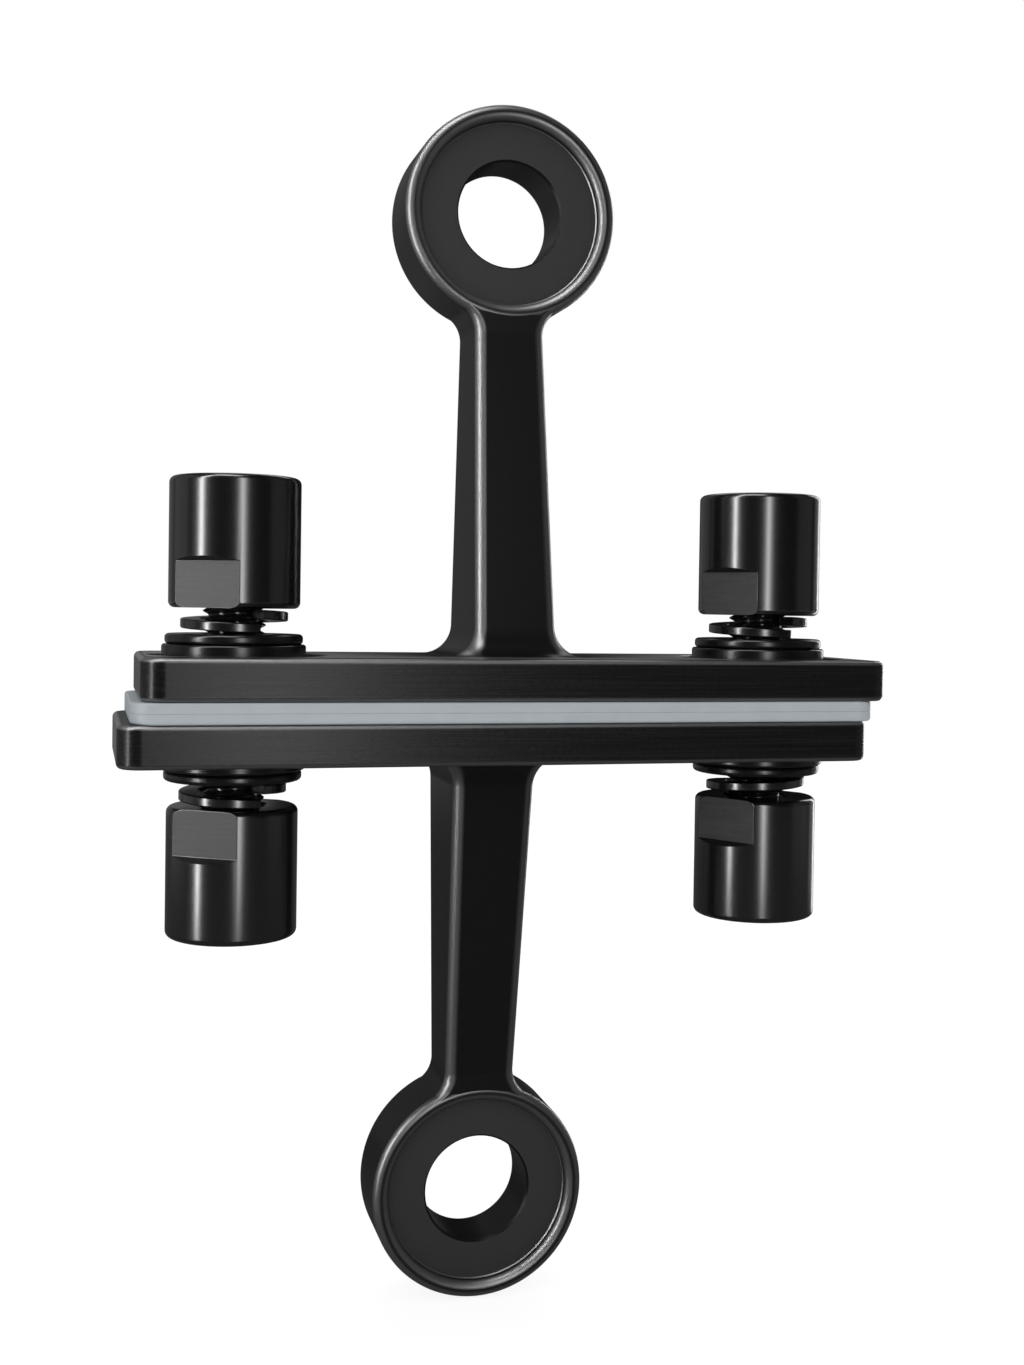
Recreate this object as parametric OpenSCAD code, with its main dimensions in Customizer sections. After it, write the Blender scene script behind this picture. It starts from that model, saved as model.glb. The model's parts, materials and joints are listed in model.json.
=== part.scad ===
// Two-way glass spider fitting for a glass fin.
// Two equal castings, each a slotted clamp plate with a tapered arm and a ring eye,
// face each other across two gaskets. Two threaded studs pass through both plates.
// Each stud end carries a slot disc, a flat washer, a split spring washer and a cap nut.
// Frame: origin at the middle of the clamp, midway between the plates,
// +X along the plates, +Y towards the side of the arms, +Z along the studs and arms.

/* [Castings] */
// distance between the centres of the two eyes
centre_distance = 200; // [160:1:260]
// length of each clamp plate
plate_length = 147; // [146:1:180]
// depth of each clamp plate, from the front edge to the arm side
plate_depth = 42; // [36:0.5:60]
// thickness of each clamp plate
plate_thickness = 8; // [6:0.5:14]
// radius of the plate's corners in plan
plate_corner = 4.5; // [2:0.5:10]
// rounding of the plate's long and short edges
plate_edge = 1; // [0.3:0.1:1.8]
// how far the upper casting is slid along its slots, off the clamp's middle
upper_shift = 2; // [-2:0.1:2]
// how far the lower casting is slid along its slots, off the clamp's middle
lower_shift = -2; // [-2:0.1:2]

/* [Eyes] */
// outer diameter of the ring eye
eye_diameter = 44; // [36:0.5:60]
// thickness of the ring eye along its bore
eye_thickness = 16.5; // [12:0.5:24]
// width of the raised, fully rounded rim
rim_width = 3.4; // [2.4:0.1:5]
// how deep each face of the eye lies below its rim
eye_recess = 2.2; // [1:0.1:3]
// diameter of the through bore for the glass bolt
eye_bore = 21.5; // [12:0.5:28]
// chamfer at both mouths of the bore
eye_chamfer = 0.4; // [0.2:0.1:1]

/* [Arms] */
// width of the arm where it meets the eye
arm_neck_width = 14.4; // [8:0.2:20]
// width of the arm where it meets the plate
arm_root_width = 16.8; // [10:0.2:30]
// depth of the arm where it meets the plate
arm_root_depth = 25; // [17:0.5:30]
// rounding of the arm's long edges
arm_edge = 2.2; // [1:0.1:4]
// fillet between the arm and the plate
root_fillet = 6; // [3:0.5:10]
// fillet between the arm and the ring
neck_fillet = 6; // [3:0.5:12]
// inset of the arm and eye from the plate's arm-side edge
arm_inset = 0.4; // [0.2:0.1:2]

/* [Slots] */
// distance between the two studs
stud_spacing = 109; // [96:1:110]
// how far the studs' middle sits off the clamp's middle
stud_shift = 1.2; // [-1.2:0.1:1.2]
// play of each slot disc along its recess, to either side
slot_play = 3.3; // [3.2:0.1:4]
// depth of the recess that holds the slot disc
recess_depth = 3; // [1.5:0.1:5]
// radial clearance of the slot disc in its recess
disc_clearance = 0.3; // [0.15:0.05:0.6]
// radial clearance of the stud in the plate's through slot
slot_clearance = 0.5; // [0.3:0.1:1]

/* [Studs] */
// thread diameter of the studs
stud_diameter = 12; // [8:1:14]
// how far each stud's end stops short of the bottom of the nut's thread
stud_end_gap = 3.6; // [3:0.1:6]
// chamfer at the stud's ends
stud_chamfer = 1; // [0.5:0.1:2]

/* [Discs and washers] */
// outer diameter of the slot disc
disc_diameter = 27.4; // [26.6:0.2:32]
// how far the slot disc stands out of its recess
disc_proud = 2; // [1:0.1:4]
// radial clearance of the slot disc on the stud
disc_bore_clearance = 0.2; // [0.1:0.05:0.45]
// outer diameter of the flat washer
washer_diameter = 26.2; // [22:0.2:32]
// thickness of the flat washer
washer_thickness = 2; // [1.2:0.1:3]
// radial clearance of the flat washer on the stud
washer_clearance = 0.4; // [0.15:0.05:0.8]
// outer diameter of the split spring washer
spring_diameter = 20.4; // [19:0.1:23]
// thickness of the spring washer's wire
spring_wire = 1.8; // [1.2:0.1:3]
// height that the spring washer's wire climbs in its one turn
spring_rise = 2.7; // [1.2:0.1:4]
// angle of the split between the wire's ends
spring_split = 14; // [6:1:30]
// radial clearance of the spring washer on the stud
spring_clearance = 0.35; // [0.15:0.05:0.8]
// gap left at each side of the spring washer
spring_seat_gap = 0.2; // [0.1:0.05:0.8]

/* [Cap nuts] */
// outer diameter of the cap nut
nut_diameter = 25; // [22:0.5:32]
// length of the cap nut
nut_length = 25; // [20:0.5:40]
// thickness of the nut's closed end
nut_cap = 5; // [3:0.5:8]
// distance across the two wrench flats
nut_flats = 21; // [19:0.5:24]
// height of the wrench flats from the plate side
flat_height = 8.8; // [5:0.2:14]
// rounding of the nut's outer edges
nut_edge = 1.2; // [0.5:0.1:2]
// radial running clearance of the thread in the nut
nut_clearance = 0.05; // [0.03:0.01:0.09]
// angle to which the left nuts' flats are turned, from the front
left_flat_turn = 34; // [0:1:90]
// angle to which the right nuts' flats are turned, from the front
right_flat_turn = 58; // [0:1:90]

/* [Gaskets] */
// thickness of each gasket
gasket_thickness = 2; // [1:0.1:8]
// length of the gaskets
gasket_length = 146; // [135:1:190]
// how far the gaskets sit off the clamp's middle
gasket_shift = -0.2; // [-1:0.1:1]
// rounding of the gaskets' edges
gasket_edge = 0.6; // [0.2:0.1:0.9]
// radial clearance of the gaskets' holes on the studs
gasket_clearance = 0.5; // [0.3:0.1:1.5]

/* [Hidden] */
$fn = 72;
eps = 0.01;
stud_r = stud_diameter / 2;
disc_r = disc_diameter / 2;
plate_face = gasket_thickness + plate_thickness;
recess_r = disc_r + disc_clearance;
slot_r = stud_r + slot_clearance;
disc_thickness = recess_depth + disc_proud;
washer_z = plate_face + disc_proud;
spring_z = washer_z + washer_thickness + spring_seat_gap;
spring_height = spring_rise + spring_wire;
nut_z = spring_z + spring_height + spring_seat_gap;
nut_bore_r = stud_r + nut_clearance;
nut_bore_depth = nut_length - nut_cap;
drill_point = nut_bore_r * 0.35;
stud_half = nut_z + nut_bore_depth - drill_point - stud_end_gap;
spring_r = spring_diameter / 2;
spring_inner = stud_r + spring_clearance;
spring_corner = spring_wire * 0.16;
spring_span = 360 - spring_split;
spring_steps = 44;
disc_edge = 0.5;
washer_edge = washer_thickness * 0.38;
thread_mouth = 0.8;

eye_r = eye_diameter / 2;
eye_height = centre_distance / 2 - plate_face;
rim_r = rim_width / 2;
face_r = eye_r - rim_width;
web_half = eye_thickness / 2 - eye_recess;
bore_r = eye_bore / 2;
back_y = plate_depth / 2 - arm_inset;
eye_y = back_y - eye_thickness / 2;

// arm outline: a straight taper, a fillet circle at the neck, then the ring
neck_half = arm_neck_width / 2;
root_half = arm_root_width / 2;
// seam is how far the arm's blended surfaces sink into the ring and the plate
seam = 0.12;
neck_x = neck_half + neck_fillet;
neck_reach = eye_r - seam + neck_fillet;
neck_drop = sqrt(pow(neck_reach, 2) - pow(neck_x, 2));
neck_z = eye_height - neck_drop;
ring_z = eye_height - neck_drop * (eye_r - seam) / neck_reach;
arm_back = back_y - seam;
neck_depth = eye_thickness - 2 * seam;
front_fillet = root_fillet * 0.7;
root_steps = 8;
taper_steps = 5;
neck_steps = 7;
corner_steps = 5;
embed = 1.2;
top_tuck = 0.3;

casting_black = [0.05, 0.05, 0.055];
turned_black = [0.03, 0.03, 0.035];
washer_black = [0.04, 0.04, 0.045];
gasket_blue = [0.66, 0.72, 0.77];

// ---- profiles -------------------------------------------------------------

// rectangle with true round corners, centred
module soft_rect(w, h, r) {
  square([w - 2 * r, h], center = true);
  square([w, h - 2 * r], center = true);
  for (x = [-1, 1], y = [-1, 1])
    translate([x * (w / 2 - r), y * (h / 2 - r)]) circle(r = r);
}

// block with round corners in plan and round edges all the way round
module soft_plate(l, w, t, corner, edge) {
  rotate([90, 0, 90])
    linear_extrude(height = l - 2 * corner, center = true) soft_rect(w, t, edge);
  rotate([90, 0, 0])
    linear_extrude(height = w - 2 * corner, center = true) soft_rect(l, t, edge);
  for (x = [-1, 1], y = [-1, 1])
    translate([x * (l / 2 - corner), y * (w / 2 - corner), 0])
      rotate_extrude()
        intersection() {
          soft_rect(2 * corner, t, edge);
          translate([0, -t]) square([corner + 1, 2 * t]);
        }
}

// straight slot with round ends, from z = 0 upwards
module slot(r, play, h) {
  for (x = [-1, 1]) translate([x * play, 0, 0]) cylinder(r = r, h = h);
  translate([-play, -r, 0]) cube([2 * play, 2 * r, h]);
}

// turned ring from z = 0 upwards, its outer edges rounded
module turned_ring(outer, inner, h, edge) {
  rotate_extrude()
    difference() {
      translate([0, h / 2]) soft_rect(2 * outer, h, edge);
      translate([inner - 2 * outer, -1]) square([2 * outer, h + 2]);
    }
}

// ---- casting --------------------------------------------------------------

// width that the root fillet adds, as a share of its radius, at height h
function root_flare(h) =
  h >= root_fillet ? 0 : 1 - sqrt(1 - pow(1 - max(h, 0) / root_fillet, 2));

// half width of the arm at height h above the plate
function arm_half(h) =
  h <= neck_z
    ? root_half + (neck_half - root_half) * h / neck_z + root_fillet * root_flare(h)
    : neck_x - sqrt(pow(neck_fillet, 2) - pow(min(h, ring_z) - neck_z, 2));

// place of the arm's front face at height h: the arm deepens towards the plate
function arm_front(h) =
  arm_back - arm_root_depth
  + (arm_root_depth - neck_depth) * min(max(h, 0) / neck_z, 1)
  - front_fillet * root_flare(h);

// one corner of the arm's section, as an arc about c from angle a
function corner_arc(c, r, a, h) =
  [for (i = [0:corner_steps])
    let (t = a + 90 * i / corner_steps) [c[0] + r * cos(t), c[1] + r * sin(t), h]];

// the arm's section at height h, anticlockwise seen from above
function arm_section(h, tuck = 0) =
  let (w = arm_half(h) - tuck, f = arm_front(h) + tuck, b = arm_back - tuck,
       rf = arm_edge + front_fillet * root_flare(h), rb = arm_edge)
    concat(corner_arc([w - rb, b - rb], rb, 0, h),
           corner_arc([-w + rb, b - rb], rb, 90, h),
           corner_arc([-w + rf, f + rf], rf, 180, h),
           corner_arc([w - rf, f + rf], rf, 270, h));

arm_heights = concat(
  [-embed, -seam],
  [for (i = [1:root_steps]) root_fillet * (1 - cos(90 * i / root_steps))],
  [for (i = [1:taper_steps]) root_fillet + (neck_z - root_fillet) * i / taper_steps],
  [for (i = [1:neck_steps]) neck_z + (ring_z - neck_z) * sin(90 * i / neck_steps)]);

// arm blended into the plate and the ring, as a loft through its sections
module arm_loft() {
  sections = concat([for (h = arm_heights) arm_section(h)],
                    [arm_section(ring_z + top_tuck, top_tuck)]);
  n = len(sections[0]);
  m = len(sections);
  polyhedron(
    points = [for (s = sections) each s],
    faces = concat(
      [[for (i = [0:n - 1]) i]],
      [for (j = [0:m - 2], i = [0:n - 1])
        let (k = (i + 1) % n)
          [j * n + i, (j + 1) * n + i, (j + 1) * n + k]],
      [for (j = [0:m - 2], i = [0:n - 1])
        let (k = (i + 1) % n)
          [j * n + i, (j + 1) * n + k, j * n + k]],
      [[for (i = [n - 1:-1:0]) (m - 1) * n + i]]));
}

// the arm ends under the crest of the rim, so both faces of the eye stay clear
module arm() {
  difference() {
    arm_loft();
    translate([0, eye_y, eye_height])
      rotate([90, 0, 0])
        cylinder(r = face_r + rim_r, h = 2 * arm_root_depth, center = true, $fn = 96);
  }
}

// section of the eye through its bore: thin web inside, fully rounded rim outside
module eye_section() {
  polygon([[bore_r, -web_half + eye_chamfer], [bore_r + eye_chamfer, -web_half],
           [face_r + rim_r, -web_half], [face_r + rim_r, web_half],
           [bore_r + eye_chamfer, web_half], [bore_r, web_half - eye_chamfer]]);
  translate([face_r, rim_r - eye_thickness / 2])
    square([rim_width, eye_thickness - rim_width]);
  for (y = [-1, 1])
    translate([face_r + rim_r, y * (eye_thickness / 2 - rim_r)]) circle(r = rim_r, $fn = 32);
}

// ring eye about the Y axis
module eye() {
  rotate([90, 0, 0]) rotate_extrude($fn = 96) eye_section();
}

// one casting, its plate's inner face on z = 0 and its arm upwards
module casting() {
  difference() {
    translate([0, 0, plate_thickness / 2])
      soft_plate(plate_length, plate_depth, plate_thickness, plate_corner, plate_edge);
    for (x = [-1, 1])
      translate([x * stud_spacing / 2, 0, 0]) {
        translate([0, 0, plate_thickness - recess_depth])
          slot(recess_r, slot_play, recess_depth + 1);
        translate([0, 0, -1]) slot(slot_r, slot_play, plate_thickness + 2);
      }
  }
  translate([0, 0, plate_thickness]) {
    arm();
    translate([0, eye_y, eye_height]) eye();
  }
}

module upper_bracket() {
  color(casting_black) translate([upper_shift, 0, gasket_thickness]) casting();
}

module lower_bracket() {
  color(casting_black)
    translate([lower_shift, 0, -gasket_thickness]) rotate([0, 180, 0]) casting();
}

// ---- gaskets and studs ----------------------------------------------------

// place of a stud's axis: side -1 left or 1 right
function stud_x(side) = side * stud_spacing / 2 + stud_shift;

module gasket(z) {
  difference() {
    translate([gasket_shift, 0, z])
      soft_plate(gasket_length, plate_depth, gasket_thickness, plate_corner, gasket_edge);
    for (side = [-1, 1])
      translate([stud_x(side), 0, z - gasket_thickness])
        cylinder(r = stud_r + gasket_clearance, h = 2 * gasket_thickness);
  }
}

module upper_gasket() {
  color(gasket_blue) gasket(gasket_thickness / 2);
}

module lower_gasket() {
  color(gasket_blue) gasket(-gasket_thickness / 2);
}

module stud(side) {
  translate([stud_x(side), 0, 0])
    rotate_extrude()
      polygon([[0, -stud_half], [stud_r - stud_chamfer, -stud_half],
               [stud_r, -stud_half + stud_chamfer], [stud_r, stud_half - stud_chamfer],
               [stud_r - stud_chamfer, stud_half], [0, stud_half]]);
}

module left_stud() {
  color(turned_black) stud(-1);
}

module right_stud() {
  color(turned_black) stud(1);
}

// ---- stack on each stud end -----------------------------------------------

// puts a piece on one of the four stud ends: side -1 left or 1 right, up 1 or -1
module station(side, up) {
  translate([stud_x(side), 0, 0]) rotate([up > 0 ? 0 : 180, 0, 0]) children();
}

module slot_disc(side, up) {
  color(washer_black)
    station(side, up)
      translate([0, 0, plate_face - recess_depth])
        turned_ring(disc_r, stud_r + disc_bore_clearance, disc_thickness, disc_edge);
}

module flat_washer(side, up) {
  color(turned_black)
    station(side, up)
      translate([0, 0, washer_z])
        turned_ring(washer_diameter / 2, stud_r + washer_clearance, washer_thickness,
                    washer_edge);
}

// corners of the wire's section, as radius and height, with the edges broken
spring_section = let (a = spring_inner, b = spring_r, c = spring_corner, t = spring_wire)
  [[a + c, 0], [b - c, 0], [b, c], [b, t - c], [b - c, t], [a + c, t], [a, t - c], [a, c]];

// one turn of square wire, falling anticlockwise as a left-hand coil does
module spring_washer(side, up, turn) {
  n = len(spring_section);
  color(washer_black)
    station(side, up)
      translate([0, 0, spring_z])
        rotate([0, 0, turn])
          polyhedron(
            points = [for (i = [0:spring_steps], p = spring_section)
              let (a = spring_span * i / spring_steps)
                [p[0] * cos(a), p[0] * sin(a), p[1] + spring_rise * (1 - i / spring_steps)]],
            faces = concat(
              [[for (k = [0:n - 1]) k]],
              [for (i = [0:spring_steps - 1], k = [0:n - 1])
                let (j = (k + 1) % n) [i * n + k, (i + 1) * n + k, (i + 1) * n + j]],
              [for (i = [0:spring_steps - 1], k = [0:n - 1])
                let (j = (k + 1) % n) [i * n + k, (i + 1) * n + j, i * n + j]],
              [[for (k = [n - 1:-1:0]) spring_steps * n + k]]));
}

// blind nut: turned barrel, threaded from the plate side, two wrench flats there
module cap_nut(side, up, turn) {
  color(turned_black)
    station(side, up)
      translate([0, 0, nut_z])
        rotate([0, 0, turn])
          difference() {
            turned_ring(nut_diameter / 2, 0, nut_length, nut_edge);
            translate([0, 0, -1]) cylinder(r = nut_bore_r, h = nut_bore_depth - drill_point + 1);
            translate([0, 0, nut_bore_depth - drill_point - eps])
              cylinder(r1 = nut_bore_r, r2 = 0, h = drill_point);
            translate([0, 0, -eps])
              cylinder(r1 = nut_bore_r + thread_mouth, r2 = nut_bore_r, h = thread_mouth);
            for (s = [-1, 1])
              translate([-nut_diameter, s > 0 ? nut_flats / 2 : -nut_flats / 2 - nut_diameter, -1])
                cube([2 * nut_diameter, nut_diameter, flat_height + 1]);
          }
}

module upper_left_slot_disc() {
  slot_disc(-1, 1);
}

module upper_left_flat_washer() {
  flat_washer(-1, 1);
}

module upper_left_spring_washer() {
  spring_washer(-1, 1, -40);
}

module upper_left_cap_nut() {
  cap_nut(-1, 1, -left_flat_turn);
}

module upper_right_slot_disc() {
  slot_disc(1, 1);
}

module upper_right_flat_washer() {
  flat_washer(1, 1);
}

module upper_right_spring_washer() {
  spring_washer(1, 1, -52);
}

module upper_right_cap_nut() {
  cap_nut(1, 1, -right_flat_turn);
}

module lower_left_slot_disc() {
  slot_disc(-1, -1);
}

module lower_left_flat_washer() {
  flat_washer(-1, -1);
}

module lower_left_spring_washer() {
  spring_washer(-1, -1, 60);
}

module lower_left_cap_nut() {
  cap_nut(-1, -1, left_flat_turn);
}

module lower_right_slot_disc() {
  slot_disc(1, -1);
}

module lower_right_flat_washer() {
  flat_washer(1, -1);
}

module lower_right_spring_washer() {
  spring_washer(1, -1, 60);
}

module lower_right_cap_nut() {
  cap_nut(1, -1, right_flat_turn);
}

upper_bracket();
lower_bracket();
upper_gasket();
lower_gasket();
left_stud();
right_stud();
upper_left_slot_disc();
upper_left_flat_washer();
upper_left_spring_washer();
upper_left_cap_nut();
upper_right_slot_disc();
upper_right_flat_washer();
upper_right_spring_washer();
upper_right_cap_nut();
lower_left_slot_disc();
lower_left_flat_washer();
lower_left_spring_washer();
lower_left_cap_nut();
lower_right_slot_disc();
lower_right_flat_washer();
lower_right_spring_washer();
lower_right_cap_nut();
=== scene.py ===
"""Dresses the fin-mounted glass spider fitting: castings, turned parts, studs, springs, stage."""

import json
import math
from functools import partial

import bmesh
import bpy
from mathutils import Matrix, Vector


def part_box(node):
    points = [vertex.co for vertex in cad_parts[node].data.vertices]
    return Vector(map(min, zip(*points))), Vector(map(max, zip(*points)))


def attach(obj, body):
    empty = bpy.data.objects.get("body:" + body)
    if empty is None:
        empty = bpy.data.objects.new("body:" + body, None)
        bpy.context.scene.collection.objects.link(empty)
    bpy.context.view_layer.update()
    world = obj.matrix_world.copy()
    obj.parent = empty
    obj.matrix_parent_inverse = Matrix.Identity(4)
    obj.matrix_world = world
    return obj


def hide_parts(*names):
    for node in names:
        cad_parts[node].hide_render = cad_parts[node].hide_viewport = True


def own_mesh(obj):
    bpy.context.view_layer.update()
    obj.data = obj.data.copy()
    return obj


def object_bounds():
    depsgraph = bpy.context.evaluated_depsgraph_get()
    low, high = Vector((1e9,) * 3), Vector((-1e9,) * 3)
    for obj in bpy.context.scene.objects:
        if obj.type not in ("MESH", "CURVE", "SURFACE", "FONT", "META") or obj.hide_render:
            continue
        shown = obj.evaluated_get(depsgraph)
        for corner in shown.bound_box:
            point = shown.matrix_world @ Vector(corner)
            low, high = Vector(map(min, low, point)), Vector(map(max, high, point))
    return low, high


bl_info = {
    "name": "Glass Spider Fitting",
    "version": (1, 0, 0),
    "blender": (4, 5, 0),
    "location": "3D View > Sidebar > Spider Fitting",
    "description": "Builds the finished pieces of a glass spider fitting over its CAD frame",
    "category": "Object",
}

MM = 0.001
SAME_POINT = 1e-7  # points closer than this are one
OVERCUT = 0.001  # how far a cutter stands out of what it cuts
GRAIN_HEIGHT = 0.00005  # height of the tool marks
EDGE_COAT_IOR = 3.0
EDGE_START, EDGE_SPAN = 0.1, 0.25  # a normal's lean where an edge starts, and up to its full
UPRIGHT_EDGE = 0.22  # how much the plate's upright corners count as edges
LAMP_WATTS = 4.0  # power for each square metre of a lamp with a glow of 1
WHITE, BLACK = (1.0, 1.0, 1.0, 1.0), (0.01, 0.01, 0.01, 1.0)
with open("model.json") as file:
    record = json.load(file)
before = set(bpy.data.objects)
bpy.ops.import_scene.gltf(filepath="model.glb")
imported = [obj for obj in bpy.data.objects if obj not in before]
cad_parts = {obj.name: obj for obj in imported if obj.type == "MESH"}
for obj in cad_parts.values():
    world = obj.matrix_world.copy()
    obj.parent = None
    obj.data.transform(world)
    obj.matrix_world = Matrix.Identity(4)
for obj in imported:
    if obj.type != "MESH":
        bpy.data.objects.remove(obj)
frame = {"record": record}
CAD_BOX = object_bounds()
MOUNTS = {mount["name"]: mount for mount in frame["record"]["mounts"]}
UPPER_EYE = Vector(MOUNTS["upper_eye_bore"]["pos_m"])
EYE_BORE_RADIUS = MOUNTS["upper_eye_bore"]["dims"]["r_mm"] * MM
SIDES = (("left", -1), ("right", 1))
LEVELS = (("upper", 1), ("lower", -1))
CORNERS = [(f"{level}_{side}", up, across) for level, up in LEVELS for side, across in SIDES]


def measure(node):
    """Low corner, high corner, middle and size of a CAD node's box."""
    low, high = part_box(node)
    return low, high, (low + high) / 2, high - low


# ---- settings ----


def number(name, description, default, **more):
    """A number property."""
    return bpy.props.FloatProperty(name=name, description=description, default=default, **more)


def length(name, description, default):
    """A length property in metres."""
    return number(name, description, default, min=0.0, unit="LENGTH", precision=5)


def angle(name, description, degrees):
    """An angle property, given in degrees."""
    return number(name, description, math.radians(degrees), subtype="ANGLE")


def share(name, description, default):
    """A factor from 0 to 1."""
    return number(name, description, default, min=0.0, max=1.0, subtype="FACTOR")


def colour(name, description, default):
    """A linear colour property."""
    return bpy.props.FloatVectorProperty(
        name=name, description=description, default=default, size=3, min=0.0, max=1.0,
        subtype="COLOR",
    )


class SPIDER_PG_casting(bpy.types.PropertyGroup):
    """Sizes and colours of the two castings: plate, arm and eye."""

    plate_thickness: length("Plate thickness", "Thickness of each plate", 0.008)
    plate_corner: length("Plate corner", "Radius of the plate's corners in plan", 0.0045)
    plate_edge: length("Plate edge", "Rounding of the plate's edges", 0.001)
    eye_thickness: length("Eye thickness", "Thickness of the eye along its bore", 0.0165)
    rim_width: length("Rim width", "Width of the eye's rounded rim", 0.0034)
    eye_recess: length("Eye recess", "Depth of the eye's faces below the rim", 0.0022)
    eye_chamfer: length("Bore chamfer", "Chamfer at the bore's mouths", 0.0004)
    neck_width: length("Neck width", "Width of the arm at the eye", 0.0144)
    root_width: length("Root width", "Width of the arm at the plate", 0.0168)
    root_depth: length("Root depth", "Depth of the arm at the plate", 0.025)
    arm_edge: length("Arm edge", "Rounding of the arm's long edges", 0.0022)
    root_fillet: length("Root fillet", "Fillet between arm and plate", 0.006)
    neck_fillet: length("Neck fillet", "Fillet between arm and eye", 0.006)
    arm_inset: length("Arm inset", "Inset of arm and eye from the plate's back edge", 0.0004)
    seam: length("Seam", "How far the arm sinks into the ring's crest", 0.00012)
    stud_spacing: length("Stud spacing", "Distance between the slots' middles", 0.109)
    slot_play: length("Slot play", "Travel of the disc in its recess to either side", 0.0033)
    recess_depth: length("Recess depth", "Depth of the slotted recess", 0.003)
    recess_radius: length("Recess radius", "Radius of the recess's round ends", 0.014)
    slot_radius: length("Slot radius", "Radius of the through slot's round ends", 0.0065)
    broken_edge: length("Broken edge", "Width of the broken edge round the recess", 0.0002)
    skin: colour("Casting colour", "Colour of the satin black castings", (0.006, 0.006, 0.0063))
    face: colour("Eye face colour", "Colour of the eyes' machined faces", (0.024, 0.024, 0.0247))


class SPIDER_PG_hardware(bpy.types.PropertyGroup):
    """Sizes and colours of gaskets, nuts, washers, springs and studs."""

    gasket_edge: length("Gasket edge", "Rounding of a gasket's outer edge", 0.0005)
    gasket_seam: length("Gasket seam", "Rounding where the gaskets lie face to face", 0.00009)
    gasket_play: length("Gasket play", "Room between a gasket's hole and the stud", 0.0005)
    disc_bore: length("Disc bore", "Radius of the slot disc's bore", 0.0062)
    disc_edge: length("Disc edge", "Rounding of the slot disc's rim", 0.0005)
    washer_bore: length("Washer bore", "Radius of the flat washer's bore", 0.0064)
    washer_edge: length("Washer edge", "Rounding of the flat washer's rim", 0.00076)
    nut_radius: length("Nut radius", "Radius of the cap nuts", 0.0125)
    nut_edge: length("Nut edge", "Rounding of the cap nut's ends", 0.0012)
    nut_mouth: length("Nut mouth", "Chamfer at the mouth of the nut's thread", 0.0008)
    nut_flats: length("Across flats", "Distance across the wrench flats", 0.021)
    flat_height: length("Flat height", "Height of the wrench flats", 0.0088)
    flat_runout: share("Flat run-out", "Slope of the milling cutter's run-out above a flat", 0.42)
    nut_bore: length("Nut bore", "Radius of the nut's thread", 0.00605)
    nut_depth: length("Nut bore depth", "Depth of the nut's thread", 0.0179)
    drill_point: share("Drill point", "Depth of the bore's cone, as a share of its radius", 0.35)
    milled_edge: length("Milled edge", "Rounding of the flats' sharp edges", 0.00012)
    left_turn: angle("Left flats", "Turn of the left nuts' flats", 34.0)
    right_turn: angle("Right flats", "Turn of the right nuts' flats", 58.0)
    thread_pitch: length("Thread pitch", "Pitch of the studs' thread", 0.00175)
    thread_depth: length("Thread depth", "Depth of the studs' thread", 0.00105)
    stud_chamfer: length("Stud chamfer", "Chamfer at the studs' ends", 0.001)
    spring_inner: length("Spring inner radius", "Inner radius of the spring washers", 0.00635)
    spring_outer: length("Spring outer radius", "Outer radius of the spring washers", 0.0102)
    spring_wire: length("Spring wire", "Thickness of the spring washer's bar", 0.0018)
    spring_split: angle("Spring split", "Angle of the spring washer's split", 2.5)
    gloss: colour("Gloss black", "Colour of the glossy turned parts", (0.004, 0.004, 0.0043))
    # The flats' colour, lighter than the gloss, is partly their brushed tone and partly a painted
    # reflection of the lamps they face.
    flat: colour("Flat colour", "Colour of the brushed wrench flats", (0.034, 0.034, 0.035))
    steel: colour("Thread colour", "Colour of the oiled threads", (0.012, 0.012, 0.013))
    rubber: colour("Gasket colour", "Colour of the gaskets", (0.33, 0.365, 0.39))


class SPIDER_PG_stage(bpy.types.PropertyGroup):
    """Camera and lamps."""

    lens: number("Lens", "Focal length on a 36 mm frame", 41.1, min=1.0, unit="CAMERA")
    side_turn: angle("Side turn", "How far the camera looks round from the left", 15.45)
    down_tilt: angle("Down tilt", "How far the camera looks down", 1.1)
    roll: angle("Roll", "Turn of the camera about its own axis", 0.86)
    camera_place: bpy.props.FloatVectorProperty(
        name="Camera place", description="Place of the camera",
        default=(-0.0816, -0.3026, 0.0204), size=3, subtype="TRANSLATION", unit="LENGTH",
    )
    camera_rise: number("Camera rise", "Shift of the lens, as a share of the frame", -0.0353)
    lamp_power: number("Lamp power", "Strength of the lamps", 1.0, min=0.0)
    world_strength: number("World strength", "Strength of the even light around", 0.8, min=0.0)


# ---- mesh helpers ----


def arc(centre, radius, start, sweep, steps):
    """Points along an arc in a plane, angles in degrees."""
    turns = [math.radians(start + sweep * i / steps) for i in range(steps + 1)]
    return [
        (centre[0] + radius * math.cos(turn), centre[1] + radius * math.sin(turn))
        for turn in turns
    ]


def close_up(bm, mesh):
    """Writes a bmesh into a mesh, with its seams joined and its faces turned outwards."""
    bmesh.ops.remove_doubles(bm, verts=bm.verts, dist=SAME_POINT)
    bmesh.ops.recalc_face_normals(bm, faces=bm.faces)
    bm.to_mesh(mesh)
    bm.free()
    return mesh


def add_object(name, mesh):
    """Links a mesh to the scene at the origin."""
    piece = bpy.data.objects.new(name, mesh)
    bpy.context.scene.collection.objects.link(piece)
    return piece


def new_piece(name, bm):
    """Links a new mesh, made from a bmesh."""
    return add_object(name, close_up(bm, bpy.data.meshes.new(name)))


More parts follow.
